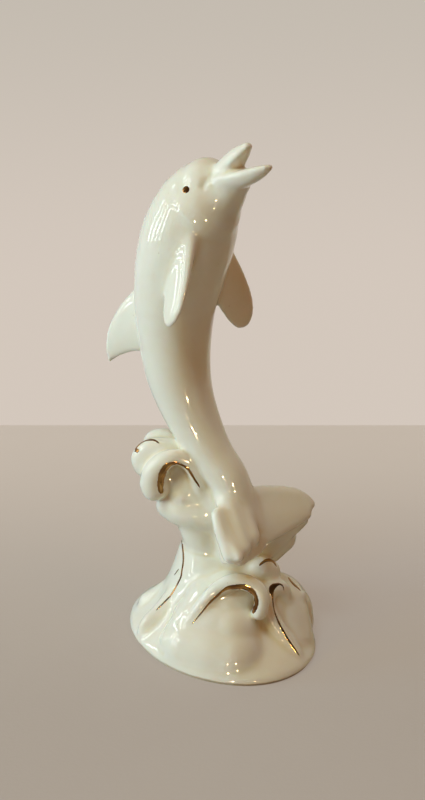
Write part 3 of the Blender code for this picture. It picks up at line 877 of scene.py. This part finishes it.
# %% Brush strokes
STROKE_ACROSS = 9
STROKE_STEP = 1.1
FINE_STEPS = 12
STROKE_THICKNESS = 0.00007
STROKE_SUNK = 0.00012
STROKE_END = 2.0
STROKE_WOBBLE = 0.05
PIXEL = 0.0003
BRUSH_REACH = 1.7
BRUSH_PRESS = 1.3

surface = BVHTree.FromPolygons(
    [Vector(point) for point in mesh_points(casting.data)],
    [tuple(face.vertices) for face in casting.data.polygons])


def seen_place(u, v):
    """The point of the skin that is seen at a point of the picture."""
    place, _, _, _ = surface.ray_cast(Vector(EYE_POINT), Vector(sight_line(u, v)))
    return None if place is None else np.array(place)


def on_skin(point):
    """The nearest point of the skin, and the way out there."""
    place, out, _, _ = surface.find_nearest(Vector(point))
    return np.array(place), np.array(out)


def even_path(rows, step):
    """Rows read every step along their path, from their first two columns."""
    fine = smooth_rows(rows, FINE_STEPS)
    lengths = np.concatenate(([0], np.cumsum(np.linalg.norm(np.diff(fine[:, :2], axis=0), axis=1))))
    count = max(int(lengths[-1] / step), 4)
    at = np.linspace(0, lengths[-1], count)
    return np.stack([np.interp(at, lengths, fine[:, column]) for column in range(fine.shape[1])], 1), at


def brush_place(u, v, way, reach, centre):
    """A point of the skin beside the middle of a stroke, or close by where the skin turns away."""
    place = seen_place(u + way[0] * reach, v + way[1] * reach)
    if place is None or np.linalg.norm(place - centre) > BRUSH_REACH * (abs(reach) * PIXEL + VOXEL):
        place = centre + (RIGHT * way[0] - UP * way[1]) * reach * PIXEL
    return on_skin(place)


def gild(name, sights):
    """A stroke of gold from rows of the picture's u, v and width: a closed ribbon that hugs the skin."""
    path, at = even_path(sights, STROKE_STEP)
    along = unit(np.gradient(path[:, :2], axis=0))
    shares = np.linspace(-1, 1, STROKE_ACROSS)
    bm = bmesh.new()
    edge = bm.verts.layers.float.new("edge")
    rings = []
    for k, (u, v, width) in enumerate(path):
        centre = seen_place(u, v)
        if centre is None:
            continue
        near_end = min(at[k], at[-1] - at[k]) / STROKE_END
        taper = math.sqrt(min(near_end, 1)) * 0.9 + 0.1
        wobble = 1 + STROKE_WOBBLE * (math.sin(k * 1.9) + math.sin(k * 0.73 + 1))
        half = width / 2 * BRUSH_PRESS * taper * wobble
        way = (-along[k][1], along[k][0])
        ring = []
        for share in shares:
            place, lift = brush_place(u, v, way, share * half, centre)
            rise = STROKE_THICKNESS * taper * (1 - share ** 2) - STROKE_SUNK * (share ** 8)
            ring.append((place + lift * rise, abs(share)))
        for share in shares[::-2]:
            place, lift = brush_place(u, v, way, share * half * 0.9, centre)
            ring.append((place - lift * STROKE_SUNK * 2, 1.0))
        rings.append(ring)
    loops = []
    for ring in rings:
        loop = []
        for place, share in ring:
            vert = bm.verts.new(place)
            vert[edge] = share
            loop.append(vert)
        loops.append(loop)
    for before, after in zip(loops, loops[1:]):
        for k in range(len(before)):
            bm.faces.new((before[k - 1], before[k], after[k], after[k - 1]))
    bm.faces.new(loops[0][::-1])
    bm.faces.new(loops[-1])
    piece = new_piece(name, bm)
    piece.data.shade_smooth()
    return piece


# %% Where the strokes are
STROKES = {
    "gold-front-curl": (
        (192, 624, 1.0), (200, 614.5, 1.3), (210, 602.5, 2.0), (217, 596, 2.5), (223, 590.5, 2.5),
        (229, 587.5, 4.0), (235, 587.3, 5.0), (240, 587.2, 6.5), (245, 588.5, 8.0), (250, 591, 7.5),
        (254, 596, 6.5), (255.5, 601, 6.0), (255.3, 606, 5.5), (253.5, 611, 4.5), (253.3, 614, 2.0)),
    "gold-right-lip": (
        (299.5, 656, 1.0), (295, 649.5, 2.0), (290, 642.5, 2.0), (285, 634, 2.0), (280, 625, 2.0),
        (276.5, 617, 1.5), (274, 609, 1.5), (273, 602, 1.5), (272.5, 596, 2.0), (271.5, 591, 5.5),
        (272.5, 587.5, 6.0), (276, 585, 4.0), (280, 584.2, 2.0), (283, 586.5, 1.2), (284, 591, 0.8)),
    "gold-right-top": (
        (287.5, 576.5, 1.0), (290, 580, 2.0), (294, 584.5, 2.0), (298, 588, 1.5), (301, 591, 0.8)),
    "gold-middle-curl": (
        (259, 566, 1.5), (262, 563, 2.5), (266, 560.5, 3.0), (270, 560, 3.0), (274, 562.5, 2.0),
        (277, 567, 1.0)),
    "gold-side-curl": (
        (137, 453, 3.0), (137, 451, 5.0), (135.5, 449, 3.5), (137, 446.5, 2.0), (141, 443, 1.3),
        (146, 440.5, 1.3), (151, 439.8, 2.0), (155, 440.5, 1.8), (159.5, 443.5, 1.2)),
    "gold-crest-curl": (
        (160.5, 494, 4.0), (161, 492, 5.0), (160.5, 487, 6.0), (160.8, 481, 6.5), (162, 475, 7.0),
        (164.5, 469, 6.5), (168.5, 465, 5.0), (173, 463.5, 3.5), (178, 463.5, 2.2), (183, 465.5, 2.2),
        (188, 469, 2.5), (192, 475, 2.3), (195, 480, 2.0), (198, 484.5, 1.6), (200, 488, 1.0)),
    "gold-left-ridge": (
        (180.8, 535, 1.2), (182.3, 545, 1.5), (183.3, 555, 1.5), (183.2, 562, 1.5), (182, 570, 1.5),
        (181, 576.5, 1.5), (178.5, 582, 1.5), (175, 588.5, 1.5), (171, 595, 1.5), (165, 601.5, 1.3),
        (156, 610.5, 1.0)),
    "gold-left-second": (
        (179, 568.6, 0.8), (176.5, 572, 0.9), (174, 575.4, 0.8)),
}

gilding = [gild(name, sights) for name, sights in STROKES.items()]
print("strokes:", [(piece.name, len(piece.data.polygons)) for piece in gilding])

# %% Gilded eyes
EYE_RINGS = 7
EYE_POINTS = 24
EYE_SIZE = (0.00155, 0.00135)


def gild_eye(name, centre):
    """A round dab of gold over the bump of an eye."""
    middle, out = on_skin(centre + unit(centre - np.array(SPINE[-1][:3])) * EYE_RADIUS)
    level = unit(np.cross(out, (0, 0, 1)))
    up = np.cross(level, out)
    bm = bmesh.new()
    edge = bm.verts.layers.float.new("edge")
    loops = []
    for ring in range(1, EYE_RINGS + 1):
        share = ring / EYE_RINGS
        loop = []
        for turn in np.linspace(0, 2 * math.pi, EYE_POINTS, endpoint=False):
            step = level * EYE_SIZE[0] * math.cos(turn) + up * EYE_SIZE[1] * math.sin(turn)
            place, lift = on_skin(middle + step * share)
            rise = STROKE_THICKNESS * (1 - share ** 2) - STROKE_SUNK * share ** 8
            vert = bm.verts.new(place + lift * rise)
            vert[edge] = share
            loop.append(vert)
        loops.append(loop)
    loop = []
    for vert in loops[-1]:
        place, lift = on_skin(np.array(vert.co) * 0.98 + middle * 0.02)
        low_vert = bm.verts.new(place - lift * STROKE_SUNK * 2)
        low_vert[edge] = 1.0
        loop.append(low_vert)
    loops.append(loop)
    for before, after in zip(loops, loops[1:]):
        for k in range(EYE_POINTS):
            bm.faces.new((before[k - 1], before[k], after[k], after[k - 1]))
    bm.faces.new(loops[0])
    bm.faces.new(loops[-1])
    piece = new_piece(name, bm)
    piece.data.shade_smooth()
    return piece


gilding += [gild_eye("gold-eye-right", eye_place(1)), gild_eye("gold-eye-left", eye_place(-1))]
print("eyes at", [np.round(eye_place(side) * 1000, 1).tolist() for side in (1, -1)])

# %% [markdown]
# ## A small language for finishes
# A finish is a graph of shader nodes, and long graphs are hard to read as calls. One small class wraps
# the tree, with one method that adds any node, and another wraps a socket, so that shader maths can be
# written as plain sums. An expression on values adds its Math nodes by itself.

# %% Sockets and finishes
class Flow:
    """What comes out of a socket, ready to be used in sums."""

    def __init__(self, finish, socket):
        self.finish = finish
        self.socket = socket

    def sum_of(self, operation, first, second):
        return self.finish.node("ShaderNodeMath", {"operation": operation}, {0: first, 1: second})

    def __add__(self, other):
        return self.sum_of("ADD", self, other)

    def __radd__(self, other):
        return self.sum_of("ADD", other, self)

    def __sub__(self, other):
        return self.sum_of("SUBTRACT", self, other)

    def __rsub__(self, other):
        return self.sum_of("SUBTRACT", other, self)

    def __mul__(self, other):
        return self.sum_of("MULTIPLY", self, other)

    def __rmul__(self, other):
        return self.sum_of("MULTIPLY", other, self)


class Finish:
    """A tree of nodes, for a material or for the world."""

    def __init__(self, owner):
        owner.use_nodes = True
        self.tree = owner.node_tree
        self.tree.nodes.clear()

    def node(self, kind, settings=None, values=None, out=0):
        """Adds a node: its settings first, then the values or links of its sockets."""
        node = self.tree.nodes.new(kind)
        for key, value in (settings or {}).items():
            if key == "stops":
                ramp = node.color_ramp.elements
                for place, colour in value[1:-1]:
                    ramp.new(place).color = colour
                for element, (place, colour) in ((ramp[0], value[0]), (ramp[-1], value[-1])):
                    element.position = place
                    element.color = colour
            else:
                setattr(node, key, value)
        for key, value in (values or {}).items():
            if isinstance(value, Flow):
                self.tree.links.new(value.socket, node.inputs[key])
            else:
                node.inputs[key].default_value = value
        return Flow(self, node.outputs[out]) if node.outputs else None

    def mix(self, share, first, second):
        """A colour between two colours."""
        return self.node("ShaderNodeMix", {"data_type": "RGBA"}, {0: share, 6: first, 7: second}, 2)

    def step(self, value, start, end):
        """0 below start, 1 above end, and smooth between."""
        return self.node("ShaderNodeMapRange", {"interpolation_type": "SMOOTHSTEP"},
                         {"Value": value, "From Min": start, "From Max": end})

    def noise(self, scale, detail=2.0, place=None):
        """Soft random values between 0 and 1 over the object."""
        place = place or self.node("ShaderNodeTexCoord", out=3)
        return self.node("ShaderNodeTexNoise", None, {"Vector": place, "Scale": scale, "Detail": detail})

    def bump(self, height, distance, strength=1.0):
        """A normal that is tilted by a height."""
        values = {"Height": height, "Distance": distance, "Strength": strength}
        return self.node("ShaderNodeBump", None, values)

    def surface(self, values):
        """Ends a material in one Principled shader."""
        shader = self.node("ShaderNodeBsdfPrincipled", None, values)
        self.node("ShaderNodeOutputMaterial", None, {"Surface": shader})


print("finishes can be written")

# %% [markdown]
# ## Ivory glaze
# The glaze is a warm ivory, glassy and not quite even. It is thin and whiter on the edges, thick and
# creamier in the creases where it ran together, with a slow ripple and a few iron specks. The foot
# has none: it shows the dry, slightly stained clay.

# %% Porcelain
IVORY = (0.86, 0.83, 0.72, 1.0)
CREAM = (0.80, 0.73, 0.55, 1.0)
THIN = (0.88, 0.86, 0.78, 1.0)
SPECK = (0.42, 0.30, 0.18, 1.0)
BISCUIT = (0.56, 0.47, 0.34, 1.0)
DRY_CLAY = (0.66, 0.58, 0.44, 1.0)
# Scales of the noises: cells to a metre
CLOUDS = 45.0
MOTTLES = 260.0
RIPPLES = 120.0
GRAINS = 1400.0
RIPPLE_HEIGHT = 0.00016
GRAIN_HEIGHT = 0.00003
GLAZE_ROUGH = 0.05
CLAY_ROUGH = 0.5
GLAZE_LINE = 0.0011
GLAZE_LINE_WANDER = 0.0007


def porcelain():
    """The glazed finish of the whole casting, with its dry foot."""
    material = bpy.data.materials.new("glaze")
    finish = Finish(material)
    pool = finish.node("ShaderNodeAttribute", {"attribute_name": "pool"}, out=2)
    cloud = finish.noise(CLOUDS, 3.0)
    mottle = finish.noise(MOTTLES, 2.0)
    thick = finish.step(pool + (cloud - 0.5) * 0.5, 0.02, 0.9)
    thin = finish.step(0.0 - pool, 0.02, 0.25)
    colour = finish.mix(thick, IVORY, CREAM)
    colour = finish.mix(thin * 0.7, colour, THIN)
    colour = finish.mix(finish.step(mottle, 0.35, 0.75) * 0.18, colour, CREAM)
    speck = finish.node("ShaderNodeTexVoronoi", None, {
        "Vector": finish.node("ShaderNodeTexCoord", out=3), "Scale": MOTTLES})
    chance = finish.step(finish.noise(MOTTLES * 2, 0.0), 0.70, 0.74)
    dot = (1 - finish.step(speck, 0.04, 0.10)) * chance
    colour = finish.mix(dot * 0.45, colour, SPECK)
    height = finish.node("ShaderNodeSeparateXYZ", None, {0: finish.node("ShaderNodeTexCoord", out=3)}, 2)
    dry = 1 - finish.step(height + (mottle - 0.5) * GLAZE_LINE_WANDER, GLAZE_LINE * 0.8, GLAZE_LINE * 1.3)
    clay = finish.mix(mottle, BISCUIT, DRY_CLAY)
    ripple = finish.bump(finish.noise(RIPPLES, 1.0), RIPPLE_HEIGHT)
    grain = finish.node("ShaderNodeBump", None, {
        "Height": finish.noise(GRAINS, 1.0) * (0.03 + dry), "Distance": GRAIN_HEIGHT, "Normal": ripple})
    finish.surface({
        "Base Color": finish.mix(dry, colour, clay),
        "Roughness": GLAZE_ROUGH + 0.04 * cloud + CLAY_ROUGH * dry,
        "Normal": grain,
        "IOR": 1.52,
        "Subsurface Weight": 0.10,
        "Subsurface Scale": 0.0012,
    })
    return material


casting.data.materials.append(porcelain())
print("glaze on", casting.name)

# %% [markdown]
# ## Gold lustre finish
# Fired lustre is a metal, mirror-like where it is thick, browner and duller where the brush ran dry at
# the edge of a stroke. Its colour is set darker than the metal's own, as painted reflection of the dark
# room that it mirrors. The mesh carries how far each point is from the middle of its stroke.

# %% Gold
# GOLD and DEEP_GOLD are darker than the metal: painted reflection of a dark room
GOLD = (0.40, 0.22, 0.075, 1.0)
DEEP_GOLD = (0.20, 0.095, 0.035, 1.0)
RIM_BROWN = (0.09, 0.042, 0.02, 1.0)


def lustre():
    """Gold lustre, browner towards the edge of a stroke."""
    material = bpy.data.materials.new("gold-lustre")
    finish = Finish(material)
    edge = finish.node("ShaderNodeAttribute", {"attribute_name": "edge"}, out=2)
    streak = finish.noise(900.0, 3.0)
    cloud = finish.noise(300.0, 1.0)
    rim = finish.step(edge + (streak - 0.5) * 0.35, 0.62, 1.0)
    colour = finish.mix(finish.step(cloud, 0.3, 0.7), GOLD, DEEP_GOLD)
    finish.surface({
        "Base Color": finish.mix(rim, colour, RIM_BROWN),
        "Metallic": 1.0,
        "Roughness": 0.05 + 0.08 * streak + 0.12 * rim,
        "Normal": finish.bump(streak, 0.00002),
    })
    return material


gold = lustre()
for piece in gilding:
    piece.data.materials.append(gold)
print("gold on", len(gilding), "strokes and eyes")

# %% [markdown]
# ## What rides on what
# The figurine is one rigid thing with one body. The fine skin stands for the CAD node, which stays in the
# model for collision, and the gold rides with it.

# %% Ride
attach(casting, "root")
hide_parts("figurine")
for piece in gilding:
    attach(piece, "root")
print("pieces:", 1 + len(gilding))

# %% [markdown]
# ## Table and wall
# The figurine stands on a matt beige table that ends a hand's width behind it. The table is lit like any
# surface, so it keeps the shadow, and the camera sees a glow of painted light mixed in: darker near the
# camera and lighter far off, it makes the shadow weaker. The wall beyond is only a colour, and the world
# can give that to the camera and to reflections without lighting the figurine.

# %% Table
TABLE_REAR = 0.192
TABLE_SIDE = 0.62
TABLE_FRONT = -1.4
TABLE = (0.56, 0.54, 0.51, 1.0)
TABLE_DEEP = (0.53, 0.51, 0.48, 1.0)
# Painted light: the glow that the camera sees on the table, darker near and lighter far, weakens its shadow
TABLE_PAINTED_LIGHT_NEAR = (0.43, 0.365, 0.31, 1.0)
TABLE_PAINTED_LIGHT_FAR = (0.72, 0.62, 0.53, 1.0)
TABLE_PAINTED_LIGHT_SHARE = 0.62


def table_top():
    """A plain table top with a straight rear edge, which the camera sees through a glow of painted light."""
    bm = bmesh.new()
    corners = ((-1, TABLE_FRONT), (1, TABLE_FRONT), (1, TABLE_REAR), (-1, TABLE_REAR))
    bm.faces.new([bm.verts.new((side * TABLE_SIDE, y, 0.0)) for side, y in corners])
    top = new_piece("table", bm)
    material = bpy.data.materials.new("table")
    finish = Finish(material)
    grain = finish.noise(60.0, 4.0)
    lit = finish.node("ShaderNodeBsdfPrincipled", None, {
        "Base Color": finish.mix(grain, TABLE, TABLE_DEEP),
        "Roughness": 0.55 + 0.1 * grain,
        "Specular IOR Level": 0.0,
        "Normal": finish.bump(finish.noise(900.0, 2.0), 0.00005),
    })
    # Painted light: a glow for camera rays only, darker near and lighter far, mixed over the lit table to
    # weaken its shadow
    depth = finish.node("ShaderNodeSeparateXYZ", None, {0: finish.node("ShaderNodeTexCoord", out=3)}, 1)
    far = finish.step(depth, -0.06, 0.2)
    plain = finish.node("ShaderNodeEmission", None, {"Color": finish.mix(far, TABLE_PAINTED_LIGHT_NEAR, TABLE_PAINTED_LIGHT_FAR)})
    seen = finish.node("ShaderNodeLightPath", out="Is Camera Ray") * TABLE_PAINTED_LIGHT_SHARE
    both = finish.node("ShaderNodeMixShader", None, {0: seen, 1: lit, 2: plain})
    finish.node("ShaderNodeOutputMaterial", None, {"Surface": both})
    top.data.materials.append(material)
    return top


table = table_top()
print("table ends at y", TABLE_REAR)

# %% [markdown]
# ## Light
# Daylight comes from a window on the left, and the room answers with dim warm light, so the glaze runs
# from cool white to brown round every form. Large soft disks do the lighting and stay out of the
# reflections. Tall narrow panes and two small lamps do the opposite: they only draw the streaks and the
# sparkles on the glaze. The lamps are kept at a level where a colour renders about as it is written.

# %% Window and lamps
# Each light: its turn and rise in degrees, its power in watts and its colour
SOFT_LIGHTS = {
    "window": (-84, 4, 4.2, (0.66, 1.0, 1.32)),
    "front": (-60, 30, 1.3, (1.30, 1.05, 0.35)),
    "sky": (-35, 60, 2.8, (0.76, 1.0, 1.04)),
    "ceiling": (50, 60, 0.5, (1.50, 0.60, 0.10)),
    "rear": (140, 4, 1.8, (0.75, 1.0, 0.80)),
}
SOFT_SIZE = 0.35
LIGHT_DISTANCE = 0.90
PANES = ((-106, 14), (-94, 14), (-84, 14), (-74, 14))
PANE_SIZE = (0.035, 0.50)
PANE_POWER = 0.65
DAYLIGHT = (0.93, 1.0, 0.98)
LAMPS = ((-14, -5), (13, -4))
LAMP_DISTANCE = 0.65
LAMP_RADIUS = 0.012
LAMP_POWER = 5.0
LAMPLIGHT = (1.0, 0.68, 0.36)
CENTRE = Vector((-0.004, 0.0, 0.085))


def way_to(turn, rise):
    """The way to a light in degrees: turn is from the camera's side to the right, rise is above level."""
    turn, rise = math.radians(turn), math.radians(rise)
    return Vector((math.sin(turn) * math.cos(rise), -math.cos(turn) * math.cos(rise), math.sin(rise)))


def add_light(name, kind, turn, rise, distance, power, colour):
    """A light that looks at the figurine."""
    data = bpy.data.lights.new(name, kind)
    data.energy = power
    data.color = colour
    light = bpy.data.objects.new(name, data)
    bpy.context.scene.collection.objects.link(light)
    light.location = CENTRE + way_to(turn, rise) * distance
    light.rotation_euler = (-way_to(turn, rise)).to_track_quat("-Z", "Y").to_euler()
    return light


for name, (turn, rise, power, colour) in SOFT_LIGHTS.items():
    light = add_light(name, "AREA", turn, rise, LIGHT_DISTANCE, power, colour)
    light.data.shape = "DISK"
    light.data.size = SOFT_SIZE
    light.visible_glossy = False
for number, (turn, rise) in enumerate(PANES):
    light = add_light(f"pane-{number}", "AREA", turn, rise, LIGHT_DISTANCE, PANE_POWER, DAYLIGHT)
    light.data.shape = "RECTANGLE"
    light.data.size, light.data.size_y = PANE_SIZE
    light.visible_diffuse = False
for number, (turn, rise) in enumerate(LAMPS):
    light = add_light(f"lamp-{number}", "POINT", turn, rise, LAMP_DISTANCE, LAMP_POWER, LAMPLIGHT)
    light.data.shadow_soft_size = LAMP_RADIUS
    light.visible_diffuse = False
print("lights:", len(SOFT_LIGHTS) + len(PANES) + len(LAMPS))

# %% World
WALL = (0.655, 0.575, 0.505, 1.0)
ROOM = (0.145, 0.058, 0.010, 1.0)
SHADE = (0.10, 0.075, 0.055, 1.0)
WALL_HIGH = (0.545, 0.495, 0.43, 1.0)


def room():
    """The wall's colour for the camera and for reflections, and dim warm light on everything."""
    world = bpy.data.worlds.new("room")
    bpy.context.scene.world = world
    finish = Finish(world)
    path = {name: finish.node("ShaderNodeLightPath", out=name)
            for name in ("Is Camera Ray", "Is Glossy Ray", "Is Transmission Ray")}
    seen = finish.node("ShaderNodeMath", {"operation": "ADD", "use_clamp": True},
                       {0: path["Is Camera Ray"] + path["Is Glossy Ray"], 1: path["Is Transmission Ray"]})
    place = finish.node("ShaderNodeTexCoord", out=0)
    way = finish.node("ShaderNodeSeparateXYZ", None, {0: place}, 1)
    level = finish.node("ShaderNodeSeparateXYZ", None, {0: place}, 2)
    behind = finish.node("ShaderNodeMath", {"operation": "ADD", "use_clamp": True},
                         {0: finish.step(way, -0.35, 0.25), 1: path["Is Camera Ray"]})
    wall = finish.mix(finish.step(level, -0.26, 0.02), WALL, WALL_HIGH)
    backdrop = finish.mix(behind, SHADE, wall)
    colour = finish.mix(seen, ROOM, backdrop)
    shown = finish.node("ShaderNodeBackground", None, {"Color": colour, "Strength": 1.0})
    finish.node("ShaderNodeOutputWorld", None, {"Surface": shown})


room()
bpy.context.scene.view_settings.view_transform = "Standard"
print("wall colour", WALL[:3])
